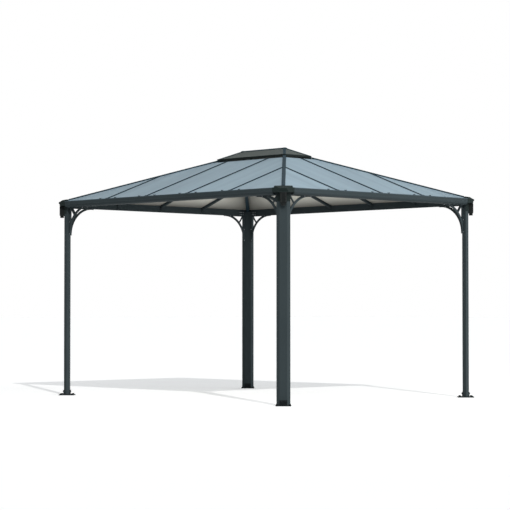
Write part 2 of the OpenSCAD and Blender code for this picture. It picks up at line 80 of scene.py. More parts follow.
# Gutters and corner hoods
GUTTER_Z = BEAM_Z + 0.025
GUTTER_TOP = GUTTER_Z + 0.041
HOOD_SIDE = EAVE_REACH + 0.0033
HOOD_FRONT = 0.094
HOOD_FRONT_HALF = HOOD_SIDE * ROOT2 - HOOD_FRONT
HOOD_FRONT_Z = GUTTER_Z + 0.034
HOOD_BROW = 0.044
HOOD_BROW_Z = GUTTER_Z + 0.058
HOOD_WING = 0.063

# Roof
PITCH = math.radians(20.0)
PANEL_Z = 2.1645
PANEL_T = 0.006
PANEL_REACH = 0.052
BAR_PITCH = 0.650
BAR_BOX_DROP = 0.0346
HIP_CLEAR = 0.0193 * ROOT2
BAR_PLACES = {0: (-1.5, -0.5, 0.5, 1.5), 1: (-1.0, 0.0, 1.0)}


def side_frame(side):
    """Direction along the eave, direction inwards, half depth and half length of a side."""
    turn = QUARTER_TURN * side
    along = Vector((math.cos(turn), math.sin(turn), 0.0))
    inward = Vector((-math.sin(turn), math.cos(turn), 0.0))
    long_side = side % 2 == 0
    return along, inward, (POST_Y if long_side else POST_X), (POST_X if long_side else POST_Y)


def bar_places(side):
    """Places of a side's glazing bars, along its eave."""
    return [BAR_PITCH * step for step in BAR_PLACES[side % 2]]


def bar_length(side, place):
    """How far a glazing bar runs in from the post line."""
    length = side_frame(side)[3]
    to_curb = POST_Y - CURB_OUT
    return min(to_curb, length - abs(place) - HIP_CLEAR)


def slope_axes(side):
    """Directions along the eave, up the slope and square to it."""
    along, inward = side_frame(side)[:2]
    rise = inward * math.cos(PITCH) + UP * math.sin(PITCH)
    out = UP * math.cos(PITCH) - inward * math.sin(PITCH)
    return along, rise, out


def slope_point(side, place, run, lift=0.0):
    """A point over a sheet: place along the eave, run in from the post line, lift square to the sheet."""
    along, inward, depth, _ = side_frame(side)
    out = slope_axes(side)[2]
    height = PANEL_Z + math.tan(PITCH) * run
    return along * place + inward * (run - depth) + UP * height + out * lift


def side_point(side, place, outward, height):
    """A point by an eave: outward is measured from the post line."""
    along, inward, depth, _ = side_frame(side)
    return along * place - inward * (depth + outward) + UP * height


def corner_point(signs, across, out, height):
    """A point by a corner post: out along the diagonal of the plan, across square to it."""
    x = (out - across) / ROOT2
    y = (out + across) / ROOT2
    return Vector((signs[0] * (POST_X + x), signs[1] * (POST_Y + y), height))


def corner_axes(signs):
    """Directions across a corner's diagonal and out along it."""
    across = Vector((-signs[0], signs[1], 0.0)) / ROOT2
    out = Vector((signs[0], signs[1], 0.0)) / ROOT2
    return across, out


# Mesh makers

PAN_HEIGHT = 0.62
PAN_HEAD = ((1.0, 0.0), (1.0, 0.25), (0.86, 0.72), (0.60, 0.97), (0.42, 1.0), (0.36, 0.55))
WASHER_T = 0.0016
WASHER_SHARE = 1.25
WASHER_BORE = 0.5
WASHER_SIDES = 20
HEX_FLANK = 0.8
HEX_CROWN = 0.86
HEX_SIDES = 6
SMOOTH_BELOW = math.radians(35.0)


def crown_outline(width, skirt, crown, steps=8):
    """Outline of a cap with straight skirts and a rounded top."""
    points = [(-width / 2, 0.0)]
    for step in range(steps + 1):
        turn = math.pi * (step / steps - 0.5)
        points.append((width / 2 * math.sin(turn), skirt + (crown - skirt) * math.cos(turn)))
    points.append((width / 2, 0.0))
    return points


def round_box_outline(width, height, radius, steps=2):
    """Outline of a rectangle with rounded corners, about its centre."""
    points = []
    for quarter, (x_sign, y_sign) in enumerate(((1, 1), (-1, 1), (-1, -1), (1, -1))):
        x = x_sign * (width / 2 - radius)
        y = y_sign * (height / 2 - radius)
        for step in range(steps + 1):
            turn = QUARTER_TURN * (quarter + step / steps)
            points.append((x + radius * math.cos(turn), y + radius * math.sin(turn)))
    return points


def circle_outline(radius, sides=12):
    """Outline of a round bar."""
    turns = [FULL_TURN * k / sides for k in range(sides)]
    return [(radius * math.cos(turn), radius * math.sin(turn)) for turn in turns]


def add_ring(bm, outline, centre, across, up):
    """The corners of an outline, set in a plane; returns them in order."""
    return [bm.verts.new(centre + across * u + up * v) for u, v in outline]


def join_rings(bm, low, high):
    """Faces between two rings with the same count of corners."""
    count = len(low)
    for k in range(count):
        after = (k + 1) % count
        bm.faces.new((low[k], low[after], high[after], high[k]))


def add_bar(bm, outline, start, end, across, up):
    """A closed bar: the outline swept straight from start to end."""
    low = add_ring(bm, outline, start, across, up)
    high = add_ring(bm, outline, end, across, up)
    join_rings(bm, low, high)
    bm.faces.new(list(reversed(low)))
    bm.faces.new(high)


def add_turned(bm, outline, centre, axis, sides=14, hollow=False):
    """A turned shape: outline points are (radius, height on the axis); a hollow one closes to a ring."""
    side = axis.orthogonal().normalized()
    other = axis.cross(side)
    rings = [
        add_ring(bm, circle_outline(radius, sides), centre + axis * height, side, other)
        for radius, height in outline
    ]
    for low, high in zip(rings, rings[1:]):
        join_rings(bm, low, high)
    if hollow:
        join_rings(bm, rings[-1], rings[0])
    else:
        bm.faces.new(list(reversed(rings[0])))
        bm.faces.new(rings[-1])


def add_pan_screw(bm, centre, axis, radius):
    """A domed screw head with a round drive recess."""
    height = PAN_HEIGHT * radius
    add_turned(bm, [(radius * across, height * up) for across, up in PAN_HEAD], centre, axis)


def add_hex_bolt(bm, centre, axis, radius, height):
    """A washer with a chamfered hexagon head on it."""
    rim = WASHER_SHARE * radius
    washer = [(rim, 0.0), (rim, WASHER_T), (WASHER_BORE * radius, WASHER_T)]
    add_turned(bm, washer, centre, axis, WASHER_SIDES)
    flank = WASHER_T + HEX_FLANK * height
    head = [(radius, WASHER_T), (radius, flank), (HEX_CROWN * radius, WASHER_T + height)]
    add_turned(bm, head, centre, axis, HEX_SIDES)


def link_object(name, data):
    """An object that holds some data, placed in the scene."""
    item = bpy.data.objects.new(name, data)
    bpy.context.scene.collection.objects.link(item)
    return item


def make_piece(name, bm, material):
    """Makes a finished object of a mesh and lets it ride on the gazebo."""
    bmesh.ops.recalc_face_normals(bm, faces=bm.faces)
    mesh = bpy.data.meshes.new(name)
    bm.to_mesh(mesh)
    bm.free()
    mesh.materials.append(material)
    for face in mesh.polygons:
        face.use_smooth = True
    mesh.set_sharp_from_angle(angle=SMOOTH_BELOW)
    piece = link_object(name, mesh)
    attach(piece, BODY)


# Shader node helpers

EDGE_RADIUS = 0.0025
BEVEL_SAMPLES = 4


def new_group(name, inputs, outputs):
    """An empty shader node group with named number sockets, and its input and output nodes."""
    group = bpy.data.node_groups.new(name, "ShaderNodeTree")
    for label, default in inputs.items():
        socket = group.interface.new_socket(name=label, in_out="INPUT", socket_type="NodeSocketFloat")
        socket.default_value = default
    for label in outputs:
        group.interface.new_socket(name=label, in_out="OUTPUT", socket_type="NodeSocketFloat")
    return group, group.nodes.new("NodeGroupInput"), group.nodes.new("NodeGroupOutput")


def add_node(tree, kind, **settings):
    """A node with its settings."""
    node = tree.nodes.new(kind)
    for label, value in settings.items():
        setattr(node, label, value)
    return node


def feed(tree, socket, value):
    """Sets a socket to a number or colour, or links it to another socket."""
    if isinstance(value, (int, float, tuple)):
        socket.default_value = value
    else:
        tree.links.new(value, socket)


def math_node(tree, operation, first, second=0.0):
    """A math node fed by sockets or numbers; returns its output."""
    node = add_node(tree, "ShaderNodeMath", operation=operation)
    feed(tree, node.inputs[0], first)
    feed(tree, node.inputs[1], second)
    return node.outputs[0]


def mix_colour(tree, factor, first, second):
    """A colour mix fed by sockets or colours; returns its output."""
    node = add_node(tree, "ShaderNodeMix", data_type="RGBA")
    for label, value in (("Factor", factor), ("A", first), ("B", second)):
        feed(tree, next(s for s in node.inputs if s.name == label and s.enabled), value)
    return next(s for s in node.outputs if s.enabled)


def range_node(tree, value, low, high, to_low=0.0, to_high=1.0):
    """A clamped map of one range of values to another; returns its output."""
    node = add_node(tree, "ShaderNodeMapRange")
    ends = {"Value": value, "From Min": low, "From Max": high, "To Min": to_low, "To Max": to_high}
    for label, end in ends.items():
        feed(tree, node.inputs[label], end)
    return node.outputs["Result"]


def noise_node(tree, vector, scale, detail, roughness):
    """A noise texture over a vector; returns its factor."""
    node = add_node(tree, "ShaderNodeTexNoise")
    for label, value in (("Vector", vector), ("Scale", scale), ("Detail", detail), ("Roughness", roughness)):
        feed(tree, node.inputs[label], value)
    return node.outputs["Fac"]


def object_place(tree):
    """The place on the object; returns its output."""
    return add_node(tree, "ShaderNodeTexCoord").outputs["Object"]


def split_vector(tree, vector):
    """The three parts of a vector; returns its outputs."""
    node = add_node(tree, "ShaderNodeSeparateXYZ")
    tree.links.new(vector, node.inputs[0])
    return node.outputs


def rounded_normal(tree):
    """The normal of a surface with softened edges; returns its output."""
    bevel = add_node(tree, "ShaderNodeBevel", samples=BEVEL_SAMPLES)
    bevel.inputs["Radius"].default_value = EDGE_RADIUS
    return bevel.outputs["Normal"]


# Shader node groups; each noise is given as its detail and roughness

COAT_GRAIN = 1400.0
CLOUD_SCALE = 2.2
GRAIN_NOISE = (2.0, 0.6)
CLOUD_NOISE = (4.0, 0.55)
GRAIN_SHARE = 0.45
CLOUD_SHARE = 0.55
TONE_LOW = 0.32
TONE_HIGH = 0.68
FLAT_EDGE = 0.995
SHARP_EDGE = 0.85
WEAR_SCALE = 11.0
WEAR_NOISE = (4.0, 0.6)
WEAR_LOW = 0.3
WEAR_HIGH = 0.7
WEAR_LEAST = 0.5
SHEET_DUST = 0.04
DUST_SCALE = 9.0
DUST_NOISE = (5.0, 0.6)
DUST_LOW = 0.3
DUST_HIGH = 0.75
DUST_TILT = 0.4
DUST_LEVEL = 0.95
FLUTE_WIDTH = 0.0105
STREAK_SCALE = 5.0
STREAK_NOISE = (4.0, 0.55)
STREAK_STRETCH = 0.25
STREAK_LOW = 0.3
STREAK_HIGH = 0.7
INSIDE_TURN = 0.1
# Painted shade on the sheets' inner face: it fades out between these heights above the eaves, and over this
# distance from the hips
SHADE_LOW = 2.160
SHADE_HIGH = 2.245
SHADE_BY_HIP = 0.50


def make_coat_group():
    """Speckle of a sprayed or moulded finish: a tone from 0 to 1 and a fine relief."""
    inputs = {"Grain Scale": COAT_GRAIN, "Cloud Scale": CLOUD_SCALE}
    group, source, sink = new_group("coat_speckle", inputs, ("Tone", "Relief"))
    place = object_place(group)
    grain = noise_node(group, place, source.outputs["Grain Scale"], *GRAIN_NOISE)
    cloud = noise_node(group, place, source.outputs["Cloud Scale"], *CLOUD_NOISE)
    fine = math_node(group, "MULTIPLY", grain, GRAIN_SHARE)
    broad = math_node(group, "MULTIPLY", cloud, CLOUD_SHARE)
    tone = math_node(group, "ADD", fine, broad)
    group.links.new(range_node(group, tone, TONE_LOW, TONE_HIGH), sink.inputs["Tone"])
    group.links.new(grain, sink.inputs["Relief"])
    return group


def make_edge_highlight_group():
    """Mask of the edges: wear in patches, and a painted highlight where they would catch light."""
    group, source, sink = new_group("edge_wear_and_highlight", {"Patch Scale": WEAR_SCALE}, ("Mask",))
    turn = add_node(group, "ShaderNodeVectorMath", operation="DOT_PRODUCT")
    group.links.new(rounded_normal(group), turn.inputs[0])
    group.links.new(add_node(group, "ShaderNodeNewGeometry").outputs["Normal"], turn.inputs[1])
    edge = range_node(group, turn.outputs["Value"], FLAT_EDGE, SHARP_EDGE)
    noise = noise_node(group, object_place(group), source.outputs["Patch Scale"], *WEAR_NOISE)
    patch = range_node(group, noise, WEAR_LOW, WEAR_HIGH, WEAR_LEAST, 1.0)
    group.links.new(math_node(group, "MULTIPLY", edge, patch), sink.inputs["Mask"])
    return group


def make_dust_group():
    """Mask of the dust that settles on faces that look up."""
    group, source, sink = new_group("settled_dust", {"Amount": SHEET_DUST}, ("Mask",))
    normal = split_vector(group, add_node(group, "ShaderNodeNewGeometry").outputs["Normal"])
    noise = noise_node(group, object_place(group), DUST_SCALE, *DUST_NOISE)
    patch = range_node(group, noise, DUST_LOW, DUST_HIGH)
    upward = range_node(group, normal["Z"], DUST_TILT, DUST_LEVEL)
    spread = math_node(group, "MULTIPLY", upward, patch)
    group.links.new(math_node(group, "MULTIPLY", spread, source.outputs["Amount"]), sink.inputs["Mask"])
    return group


def along_eave(group, normal, place):
    """The coordinate that runs along the eave of the slope that a face belongs to."""
    size_x = math_node(group, "ABSOLUTE", normal["X"])
    size_y = math_node(group, "ABSOLUTE", normal["Y"])
    faces_x = math_node(group, "GREATER_THAN", size_x, size_y)
    faces_y = math_node(group, "SUBTRACT", 1.0, faces_x)
    along_y = math_node(group, "MULTIPLY", place["Y"], faces_x)
    along_x = math_node(group, "MULTIPLY", place["X"], faces_y)
    return math_node(group, "ADD", along_y, along_x)


def painted_edge_shade(group, place):
    """0 by the eaves and the hips, where the inner face is darkened as painted shade, up to 1 away from them.
    """
    from_eave = range_node(group, place["Z"], SHADE_LOW, SHADE_HIGH)
    past_ridge = math_node(group, "SUBTRACT", math_node(group, "ABSOLUTE", place["X"]), RIDGE_HALF)
    past_hip = math_node(group, "SUBTRACT", past_ridge, math_node(group, "ABSOLUTE", place["Y"]))
    from_hip = range_node(group, math_node(group, "ABSOLUTE", past_hip), 0.0, SHADE_BY_HIP)
    return math_node(group, "MULTIPLY", from_eave, from_hip)


def rain_streaks(group, along, height):
    """Faint streaks that run down a slope."""
    stretched = add_node(group, "ShaderNodeCombineXYZ")
    group.links.new(along, stretched.inputs["X"])
    group.links.new(math_node(group, "MULTIPLY", height, STREAK_STRETCH), stretched.inputs["Z"])
    noise = noise_node(group, stretched.outputs[0], STREAK_SCALE, *STREAK_NOISE)
    return range_node(group, noise, STREAK_LOW, STREAK_HIGH)


def make_flute_group():
    """Walls inside a twin-wall sheet, rain streaks, a mask of its inner face, and a mask that is 0 where
    painted shade darkens that face by the eaves and hips.
    """
    outputs = ("Flute", "Streak", "Inside", "Clear Of Painted Shade")
    group, source, sink = new_group("sheet_flutes", {"Flute Width": FLUTE_WIDTH}, outputs)
    normal = split_vector(group, add_node(group, "ShaderNodeNewGeometry").outputs["True Normal"])
    place = split_vector(group, object_place(group))
    along = along_eave(group, normal, place)
    cycle = math_node(group, "DIVIDE", along, source.outputs["Flute Width"])
    wave = math_node(group, "SINE", math_node(group, "MULTIPLY", cycle, FULL_TURN))
    group.links.new(range_node(group, wave, -1.0, 1.0), sink.inputs["Flute"])
    group.links.new(rain_streaks(group, along, place["Z"]), sink.inputs["Streak"])
    group.links.new(range_node(group, normal["Z"], INSIDE_TURN, -INSIDE_TURN), sink.inputs["Inside"])
    group.links.new(painted_edge_shade(group, place), sink.inputs["Clear Of Painted Shade"])
    return group


# Materials

COAT = make_coat_group()
EDGE = make_edge_highlight_group()
DUST = make_dust_group()
FLUTES = make_flute_group()
DUST_COLOUR = (0.30, 0.31, 0.30, 1.0)
ROUGH_SWING = 0.05
RELIEF_DEPTH = 0.0004
COAT_SPECULAR = 0.05
COAT_RELIEF = 0.05
MOULD_GRAIN = 2200.0
MOULD_RELIEF = 0.08
SHEET_WALL = (0.171, 0.214, 0.243, 1.0)
SHEET_WALL_SHARE = 0.16
SHEET_SPECULAR = 0.08
SHEET_SMOOTHER = 0.06
SHEET_ROUGHER = 0.08
SHEET_SCATTER = (1.0, 1.0, 0.9)
FLUTE_RELIEF = 0.05
FLUTE_DEPTH = 0.0003


def opaque(colour):
    """A colour with full cover."""
    return (*colour, 1.0)


def place_group(tree, group, **values):
    """Places a node group in a material with its own values."""
    node = add_node(tree, "ShaderNodeGroup", node_tree=group)
    for label, value in values.items():
        node.inputs[label.replace("_", " ")].default_value = value
    return node.outputs


def new_material(name, viewport):
    """An empty material with a Principled shader; returns it with its tree and shader."""
    material = bpy.data.materials.new(name)
    material.use_nodes = True
    material.diffuse_color = viewport
    tree = material.node_tree
    shader = next(node for node in tree.nodes if node.type == "BSDF_PRINCIPLED")
    return material, tree, shader


def set_shader(shader, **values):
    """Sets plain values on a shader's sockets."""
    for label, value in values.items():
        shader.inputs[label.replace("_", " ")].default_value = value


def add_relief(tree, shader, height, strength, distance):
    """Rounds the edges and adds a fine relief to a surface."""
    bump = add_node(tree, "ShaderNodeBump")
    bump.inputs["Strength"].default_value = strength
    bump.inputs["Distance"].default_value = distance
    tree.links.new(height, bump.inputs["Height"])
    tree.links.new(rounded_normal(tree), bump.inputs["Normal"])
    tree.links.new(bump.outputs["Normal"], shader.inputs["Normal"])


def make_finish(name, dark, light, worn_and_lit, grain, roughness, specular, dust=0.0, metallic=0.0, relief=0.12):
    """A sprayed, moulded or plated finish: speckle between two tones, edges lightened by wear and a painted
    highlight, and settled dust.
    """
    material, tree, shader = new_material(name, opaque(light))
    coat = place_group(tree, COAT, Grain_Scale=grain)
    edge = place_group(tree, EDGE)
    tone = mix_colour(tree, coat["Tone"], opaque(dark), opaque(light))
    # The edge tone is wear and a painted highlight together
    tone = mix_colour(tree, edge["Mask"], tone, opaque(worn_and_lit))
    if dust:
        tone = mix_colour(tree, place_group(tree, DUST, Amount=dust)["Mask"], tone, DUST_COLOUR)
    tree.links.new(tone, shader.inputs["Base Color"])
    rough = range_node(tree, coat["Tone"], 0.0, 1.0, roughness - ROUGH_SWING, roughness + ROUGH_SWING)
    tree.links.new(rough, shader.inputs["Roughness"])
    set_shader(shader, Specular_IOR_Level=specular, Metallic=metallic)
    add_relief(tree, shader, coat["Relief"], relief, RELIEF_DEPTH)
    return material


def make_coat(name, dark, light, worn_and_lit, roughness=0.62):
    """A satin powder coat."""
    return make_finish(name, dark, light, worn_and_lit, COAT_GRAIN, roughness, COAT_SPECULAR, relief=COAT_RELIEF)


def make_sheet(name, outside, outside_pale, inside, inside_painted_lit, roughness, glow):
    """Twin-wall roof sheet: flutes down the slope, rain streaks, and an inner face painted paler and warmer
    than the outer face as light through the sheet, darker by the eaves and hips as painted shade.
    """
    material, tree, shader = new_material(name, opaque(outside))
    flutes = place_group(tree, FLUTES)
    settled = place_group(tree, DUST)
    out_tone = mix_colour(tree, flutes["Streak"], opaque(outside), opaque(outside_pale))
    # Painted light and shade on the inner face: its dark tone by the eaves and hips, its pale tone away from
    # them
    inside_lit_and_shaded = mix_colour(tree, flutes["Clear Of Painted Shade"], opaque(inside), opaque(inside_painted_lit))
    tone = mix_colour(tree, flutes["Inside"], out_tone, inside_lit_and_shaded)
    wall = math_node(tree, "MULTIPLY", flutes["Flute"], SHEET_WALL_SHARE)
    ribbed = mix_colour(tree, wall, tone, SHEET_WALL)
    tree.links.new(mix_colour(tree, settled["Mask"], ribbed, DUST_COLOUR), shader.inputs["Base Color"])
    smoother, rougher = roughness - SHEET_SMOOTHER, roughness + SHEET_ROUGHER
    rough = range_node(tree, flutes["Streak"], 0.0, 1.0, smoother, rougher)
    tree.links.new(rough, shader.inputs["Roughness"])
    set_shader(shader, Specular_IOR_Level=SHEET_SPECULAR, Subsurface_Weight=glow)
    set_shader(shader, Subsurface_Radius=SHEET_SCATTER, Subsurface_Scale=PANEL_T)
    add_relief(tree, shader, flutes["Flute"], FLUTE_RELIEF, FLUTE_DEPTH)
    return material


FRAME_COAT = make_coat(
    "anthracite_coat", dark=(0.028, 0.038, 0.042), light=(0.034, 0.045, 0.049), worn_and_lit=(0.045, 0.057, 0.062))
BAR_COAT = make_coat(
    "bar_coat", dark=(0.01, 0.0229, 0.0314), light=(0.0143, 0.03, 0.04), worn_and_lit=(0.0229, 0.04, 0.051))
# The bead's paler, bluer coat is a painted reflection of the sky along the gutter's rim
RIM_REFLECTION_COAT = make_coat(
    "rim_painted_reflection", dark=(0.054, 0.074, 0.089), light=(0.066, 0.089, 0.104), worn_and_lit=(0.074, 0.1, 0.117),
    roughness=0.58)
# Near black: the vent's dark coat, darkened further as painted shade of the slot under the vent roof
VENT_COAT = make_coat(
    "vent_coat", dark=(0.0065, 0.01, 0.0095), light=(0.01, 0.0145, 0.014), worn_and_lit=(0.02, 0.0286, 0.0271))
FOOT_COAT = make_finish(
    "foot_coat", dark=(0.0071, 0.01, 0.0114), light=(0.0114, 0.0143, 0.0157),
    worn_and_lit=(0.0257, 0.03, 0.0329), grain=900.0, roughness=0.6, specular=0.06, dust=0.02)
HOOD_PLASTIC = make_finish(
    "hood_plastic", dark=(0.0086, 0.0143, 0.0136), light=(0.0129, 0.02, 0.0193),
    worn_and_lit=(0.0486, 0.06, 0.059), grain=MOULD_GRAIN, roughness=0.6, specular=0.06, relief=MOULD_RELIEF)
SPOUT_PLASTIC = make_finish(
    "spout_plastic", dark=(0.0075, 0.009, 0.009), light=(0.0125, 0.0145, 0.0145),
    worn_and_lit=(0.086, 0.091, 0.089), grain=MOULD_GRAIN, roughness=0.55, specular=0.04, relief=MOULD_RELIEF)
RUBBER = make_finish(
    "gasket_rubber", dark=(0.0114, 0.0129, 0.0143), light=(0.02, 0.0214, 0.0229),
    worn_and_lit=(0.0286, 0.03, 0.0314), grain=1800.0, roughness=0.7, specular=0.3, dust=0.15)
SCREW_PLATING = make_finish(
    "screw_plating", dark=(0.229, 0.243, 0.257), light=(0.371, 0.386, 0.4),
    worn_and_lit=(0.6, 0.614, 0.629), grain=1200.0, roughness=0.38, specular=0.5, dust=0.1, metallic=0.7)
MESH_WIRE = make_finish(
    "mesh_wire", dark=(0.02, 0.0229, 0.0243), light=(0.0314, 0.0343, 0.0371),
    worn_and_lit=(0.057, 0.06, 0.063), grain=1500.0, roughness=0.55, specular=0.4, dust=0.1)
# The roof sheet's pale inner tone is painted light through the sheet; its dark inner tone is painted shade
ROOF_SHEET = make_sheet(
    "roof_sheet", outside=(0.165, 0.235, 0.285), outside_pale=(0.25, 0.338, 0.395),
    inside=(0.2, 0.192, 0.168), inside_painted_lit=(0.7, 0.684, 0.61), roughness=0.5, glow=0.35)
VENT_SHEET = make_sheet(
    "vent_sheet", outside=(0.0375, 0.046, 0.0405), outside_pale=(0.051, 0.06, 0.0525),
    inside=(0.057, 0.057, 0.0486), inside_painted_lit=(0.08, 0.08, 0.069), roughness=0.6, glow=0.2)


def dress_frame():
    """Gives every solid of the frame its finish, by the end of its name; later endings win."""
    finishes = (
        ("roof_panels", ROOF_SHEET), ("vent_roof_panels", VENT_SHEET), ("foot", FOOT_COAT),
        ("gutter_corner", HOOD_PLASTIC), ("rain_spout", SPOUT_PLASTIC), ("hip_rafter", BAR_COAT),
        ("vent_roof_hips", BAR_COAT), ("vent_roof_ridge", BAR_COAT),
        ("vent_curb", VENT_COAT), ("vent_spacers", VENT_COAT), ("vent_roof_edge", VENT_COAT),
    )
    for name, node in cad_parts.items():
        finish = FRAME_COAT
        for ending, material in finishes:
            if name.endswith(ending):
                finish = material
        node.data.materials.clear()
        node.data.materials.append(finish)


# Fittings of the roof

CAP_W = 0.028
CAP_SKIRT = 0.0025
CAP_CROWN = 0.0075
CAP_LIFT = 0.0004
CAP_END_GAP = 0.004
GASKET_R = 0.0019
GASKET_NEST = 0.6
GASKET_SIDES = 8
PLUG_W = 0.033
PLUG_SKIRT = 0.011
PLUG_CROWN = 0.011
PLUG_DROP = 0.0075
PLUG_OUT = 0.006
PLUG_IN = 0.012
PLUG_SCREW_IN = 0.003
PLUG_SCREW_SINK = 0.0008
PLUG_SCREW_R = 0.004


def add_bar_cap(caps, gaskets, side, place):
    """A rounded snap cap over a glazing bar, with a gasket along either edge."""
    along, _, out = slope_axes(side)
    foot = slope_point(side, place, -PANEL_REACH, CAP_LIFT)
    head = slope_point(side, place, bar_length(side, place) - CAP_END_GAP, CAP_LIFT)
    add_bar(caps, crown_outline(CAP_W, CAP_SKIRT, CAP_CROWN), foot, head, along, out)
    for edge in (-1, 1):
        shift = along * edge * (CAP_W / 2 + GASKET_NEST * GASKET_R)
        add_bar(gaskets, circle_outline(GASKET_R, GASKET_SIDES), foot + shift, head + shift, along, out)


def add_bar_plug(plugs, side, place):
    """A moulded plug with a screw, on the foot of a bar cap."""
    along, _, out = slope_axes(side)
    low = slope_point(side, place, -PANEL_REACH - PLUG_OUT, -PLUG_DROP)
    high = slope_point(side, place, -PANEL_REACH + PLUG_IN, -PLUG_DROP)
    add_bar(plugs, crown_outline(PLUG_W, PLUG_SKIRT, PLUG_DROP + PLUG_CROWN), low, high, along, out)
    screw = slope_point(side, place, -PANEL_REACH + PLUG_SCREW_IN, PLUG_CROWN - PLUG_SCREW_SINK)
    add_pan_screw(plugs, screw, out, PLUG_SCREW_R)


def make_bar_caps(side):
    """Caps, gaskets and plugs of the glazing bars of a side."""
    caps = bmesh.new()
    gaskets = bmesh.new()
    plugs = bmesh.new()
    for place in bar_places(side):
        add_bar_cap(caps, gaskets, side, place)
        add_bar_plug(plugs, side, place)
    name = SIDES[side]
    make_piece(name + "_bar_caps", caps, BAR_COAT)
    make_piece(name + "_bar_gaskets", gaskets, RUBBER)
    make_piece(name + "_bar_plugs", plugs, HOOD_PLASTIC)


CLIP_OFFSET = 0.125
CLIP_TO_CORNER = 0.12
CLIP_FOOT = ((-0.005, 0.0), (-0.005, 0.0035), (-0.003, 0.005), (0.003, 0.005), (0.005, 0.0035), (0.005, 0.0))
CLIP_OUT = 0.003
CLIP_RUN = -0.034
CLIP_PAST_SCREW = 0.020
CLIP_LIFT = 0.0002
HOOK_W = 0.010
HOOK_H = 0.013
HOOK_ROUND = 0.003
HOOK_STEPS = 3
HOOK_T = 0.003
HOOK_DROP = 0.0045
BOSS = ((0.0052, 0.0), (0.0049, 0.003), (0.0043, 0.005))
BOSS_LIFT = 0.005
CLIP_SCREW_LIFT = 0.0095
CLIP_SCREW_R = 0.0042


def add_eave_clip(clips, screws, side, place):
    """A clip with a foot on the sheet, a hook round its edge and a screw in a boss."""
    along, rise, out = slope_axes(side)
    low = slope_point(side, place, -PANEL_REACH - CLIP_OUT, CLIP_LIFT)
    high = slope_point(side, place, CLIP_RUN + CLIP_PAST_SCREW, CLIP_LIFT)
    add_bar(clips, CLIP_FOOT, low, high, along, out)
    hook = low - out * HOOK_DROP
    section = round_box_outline(HOOK_W, HOOK_H, HOOK_ROUND, HOOK_STEPS)
    add_bar(clips, section, hook - rise * HOOK_T, hook, along, out)
    add_turned(clips, BOSS, slope_point(side, place, CLIP_RUN, BOSS_LIFT), out)
    add_pan_screw(screws, slope_point(side, place, CLIP_RUN, CLIP_SCREW_LIFT), out, CLIP_SCREW_R)


def make_eave_clips(side):
    """Moulded clips that hold the sheets' lower edges, two beside each bar."""
    limit = side_frame(side)[3] - CLIP_TO_CORNER
    clips = bmesh.new()
    screws = bmesh.new()
    for bar in bar_places(side):
        for place in (bar - CLIP_OFFSET, bar + CLIP_OFFSET):
            if abs(place) <= limit:
                add_eave_clip(clips, screws, side, place)
    name = SIDES[side]
    make_piece(name + "_eave_clips", clips, HOOD_PLASTIC)
    make_piece(name + "_clip_screws", screws, FRAME_COAT)


TRIM_WALL = 0.0011
TRIM_DEPTH = 0.009
TRIM_FACE = 0.0015
TRIM_LIFT = 0.0001
TRIM_TO_HIP = 0.018
TRIM_BOTTOM = -PANEL_T - TRIM_WALL - FIT


def add_sheet_trim(trims, side, start, end):
    """A channel round a sheet's lower edge: face, upper flange and lower flange."""
    _, rise, out = slope_axes(side)
    walls = (
        (TRIM_BOTTOM, TRIM_WALL, TRIM_FACE),
        (TRIM_LIFT, TRIM_WALL, TRIM_DEPTH),
        (TRIM_BOTTOM, TRIM_BOTTOM + TRIM_WALL, TRIM_DEPTH),
    )
    ends = slope_point(side, start, -PANEL_REACH), slope_point(side, end, -PANEL_REACH)
    for low, high, run in walls:
        back = run - TRIM_FACE
        outline = [(-TRIM_FACE, low), (back, low), (back, high), (-TRIM_FACE, high)]
        add_bar(trims, outline, *ends, rise, out)


def make_sheet_trims(side):
    """Channel trims that close the lower edges of a side's sheets, between the plugs."""
    half = side_frame(side)[3] - PANEL_REACH - TRIM_TO_HIP
    places = bar_places(side)
    starts = [-half] + [place + PLUG_W / 2 for place in places]
    ends = [place - PLUG_W / 2 for place in places] + [half]
    trims = bmesh.new()
    for start, end in zip(starts, ends):
        add_sheet_trim(trims, side, start, end)
    make_piece(SIDES[side] + "_sheet_trims", trims, FRAME_COAT)


SHOE_W = 0.031
SHOE_T = 0.0026
SHOE_ROUND = 0.0012
SHOE_RUN = 0.055
SHOE_DROP = 0.034
SHOE_LAP = 0.001
SHOE_SET = 0.0004
SHOE_START = -BEVEL_IN - 0.001
SHOE_UNDER = -BAR_BOX_DROP * math.cos(PITCH) - SHOE_T / 2
SHOE_SCREW_RUNS = (0.018, 0.042)
SHOE_SCREW_SHIFTS = (-0.011, 0.011)
SHOE_SCREW_DROP = 0.020
SHOE_SCREW_R = 0.0045


def add_rafter_shoe(shoes, screws, side, place):
    """An angle bracket under a glazing bar, screwed to it and to the eave beam."""
    along, _, out = slope_axes(side)
    inward = side_frame(side)[1]
    plate = round_box_outline(SHOE_W, SHOE_T, SHOE_ROUND)
    start = slope_point(side, place, SHOE_START, SHOE_UNDER)
    end = slope_point(side, place, SHOE_START + SHOE_RUN, SHOE_UNDER)
    add_bar(shoes, plate, start, end, along, out)
    foot = slope_point(side, place, SHOE_START - SHOE_SET, SHOE_UNDER)
    add_bar(shoes, plate, foot - UP * SHOE_DROP, foot + UP * SHOE_LAP, along, inward)
    for run in SHOE_SCREW_RUNS:
        under = slope_point(side, place, SHOE_START + run, SHOE_UNDER - SHOE_T / 2)
        add_pan_screw(screws, under, -out, SHOE_SCREW_R)
    for shift in SHOE_SCREW_SHIFTS:
        face = foot + along * shift - UP * SHOE_SCREW_DROP + inward * SHOE_T / 2
        add_pan_screw(screws, face, inward, SHOE_SCREW_R)


